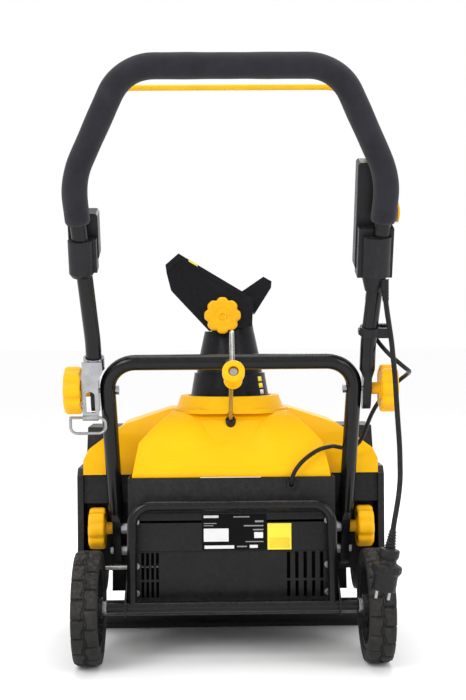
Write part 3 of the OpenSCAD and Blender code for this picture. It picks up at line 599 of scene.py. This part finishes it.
def make_knob(name, node, body, d, t, hub_d, hub_h, origin, out):
    """A lobed knob whose face looks along out, with its hub behind it."""
    z = Vector(out).normalized()
    x = z.orthogonal().normalized()
    place = Matrix.Translation(origin) @ Matrix((x, z.cross(x), z)).transposed().to_4x4()
    r = d / 2
    profile = [(4.2, -hub_h), (hub_d / 2, -hub_h), (hub_d / 2, -0.5), (hub_d / 2 + 1.5, 0.2),
               (r * 0.45, 0.4), (r * 0.52, 3.0), (r * 0.80, 3.0), (r * 0.90, 0.3), (r - 0.5, 2.5),
               (r, 6), (r, t - 6), (r - 1.4, t - 1.6), (r * 0.86, t - 0.3), (r * 0.45, t - 0.6),
               (r * 0.40, t - 1.8), (r * 0.24, t - 1.8), (r * 0.22, t - 0.4), (r * 0.13, t - 0.4),
               (r * 0.11, t - 3.0), (0, t - 3.0)]
    body_profile = [(a * MM, b * MM) for a, b in rounded_profile(profile, 2.2)]
    knob = lathe(name, body_profile, place, body, 96, knob_wobble(r * MM))
    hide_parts(node)
    return paint(knob, "yellow_knob")


for side, word in ((-1, "left"), (1, "right")):
    make_knob(f"{word}_fold_knob", f"{word}_upper_knob", f"upper_knob_{word}", 76, 28, 20, 13.6,
              on_handle(side * 237, PIVOT_S), (side, 0, 0))
    make_knob(f"{word}_frame_knob", f"{word}_lower_knob", f"lower_knob_{word}", 69, 28, 20, 11.6,
              on_handle(side * 209, 0), (side, 0, 0))
make_knob("tilt_hand_knob", "deflector_knob", "tilt_knob", 61, 22, 18, 5.2,
          at(TILT_X, CHUTE_Y - 52, TILT_Z), (0, -1, 0))

# ---- Labels, with no lettering ----

def rear_rect(x0, x1, z0, z1, y):
    return [at(x0, y, z0), at(x1, y, z0), at(x1, y, z1), at(x0, y, z1)]


PANEL_FACE = 34.0
BACK = (0, -1, 0)


def label(name, x0, x1, z0, z1, look, printed=False):
    """A thin label on the rear panel, or a printed shape on top of one."""
    lift, thickness = (0.36, 0.0001) if printed else (0.05, 0.0003)
    piece = plate(name, rear_rect(x0, x1, z0, z1, PANEL_FACE - lift), thickness, BACK, "chassis")
    return paint(piece, "yellow_cover" if "yellow" in look else "panel", look)


def make_labels():
    label("rating_label", -48.5, 56, 173.5, 231.5, "label_dark")
    bars = [(-45.6, -21.5, 225.6, 229.6), (-45.6, -5.5, 187.3, 208.4), (-44.5, 3.4, 175.8, 181.0),
            (28.6, 41.6, 176.6, 181.4), (36, 50.2, 192.5, 202)]
    for k, bar in enumerate(bars):
        label(f"label_bar_{k}", *bar, "label_white", printed=True)
    lines = [(2.6, 28.6, 226, 228), (37.2, 50.9, 218, 221), (19.4, 50.9, 211.5, 213.5),
             (34.2, 50.9, 205, 207), (22, 50.9, 186, 187.5), (-45.6, -25, 216, 217.3),
             (-45.6, -30, 212.5, 213.6), (8, 24, 178, 180)]
    for k, line in enumerate(lines):
        label(f"label_line_{k}", *line, "label_grey", printed=True)
    label("plain_yellow_label", 57.5, 96, 173.5, 216, "label_yellow")
    label("yellow_label_panel", 60, 93.5, 176, 193, "label_deep_yellow", printed=True)


make_labels()

# ---- Plain marks on the chute and the deflector ----

def cone_r(z):
    """The radius of the chute's lowest cone at a height."""
    return 67 - (z - 416) / 38 * 6.5


def cone_patch(name, z0, z1, low, high, look):
    """A thin patch on the chute's cone, between two angles to the right of straight behind."""
    verts, faces = [], []
    steps = 6
    for lift in (0.05, 0.25):
        for z in (z0, z1):
            r = cone_r(z) + lift
            for k in range(steps + 1):
                a = radians(low + (high - low) * k / steps)
                verts.append(at(r * sin(a), CHUTE_Y - r * cos(a), z))
    row = steps + 1
    for k in range(steps):
        faces.append((2 * row + k, 2 * row + k + 1, 3 * row + k + 1, 3 * row + k))
        faces.append((k, row + k, row + k + 1, k + 1))
        faces.append((k, k + 1, 2 * row + k + 1, 2 * row + k))
        faces.append((row + k, 3 * row + k, 3 * row + k + 1, row + k + 1))
    faces.append((0, 2 * row, 3 * row, row))
    faces.append((row - 1, 2 * row - 1, 4 * row - 1, 3 * row - 1))
    return paint(new_piece(name, verts, faces, "chute_tube"), "yellow_cover", look)


cone_patch("chute_mark_0", 443, 451, 50, 60, "label_yellow")
cone_patch("chute_mark_1", 432, 440, 50, 60, "label_yellow")
cone_patch("chute_mark_2", 421, 429, 51, 60, "label_white")


def make_deflector_mark():
    corners = [at(TILT_X + x, CHUTE_Y - 47.9, TILT_Z + z)
               for x, z in ((-56, 91.5), (-41, 82.5), (-41, 85.2), (-56, 94.2))]
    paint(plate("deflector_mark", corners, 0.0003, BACK, "chute_deflector"),
          "yellow_cover", "label_yellow")


make_deflector_mark()

# ---- Floor and light ----

FLOOR_REACH = 60.0
FLOOR_DROP = 0.0004
# Each lamp's name, place in metres, size and power
LAMPS = [("key", (-1.5, -1.9, 2.1), 1.2, 30), ("fill", (1.8, -1.6, 1.5), 1.0, 14),
         ("top", (0.0, 0.1, 2.6), 1.6, 18), ("rim", (0.7, 2.2, 1.8), 1.0, 14)]
LAMP_AIM = Vector((0, 0, 0.45))


def make_stage():
    mat = finish_material("floor", (0.975, 0.975, 0.975), 0.95, patch_amount=0.01,
                          grain_depth=0.00001)
    mesh = bpy.data.meshes.new("floor")
    corners = [(x * FLOOR_REACH, y * FLOOR_REACH, -FLOOR_DROP)
               for x, y in ((-1, -1), (1, -1), (1, 1), (-1, 1))]
    mesh.from_pydata(corners, [], [(0, 1, 2, 3)])
    floor_piece = bpy.data.objects.new("floor", mesh)
    floor_piece.data.materials.append(mat)
    bpy.context.scene.collection.objects.link(floor_piece)
    world = bpy.data.worlds.new("studio")
    bpy.context.scene.world = world
    world.use_nodes = True
    world.node_tree.nodes["Background"].inputs[0].default_value = (1, 1, 1, 1)
    world.node_tree.nodes["Background"].inputs[1].default_value = 1.0
    for name, place, size, power in LAMPS:
        data = bpy.data.lights.new(name, "AREA")
        data.energy = power
        data.size = size
        lamp = bpy.data.objects.new(name, data)
        lamp.location = place
        lamp.rotation_euler = (LAMP_AIM - Vector(place)).to_track_quat("-Z", "Y").to_euler()
        bpy.context.scene.collection.objects.link(lamp)


make_stage()
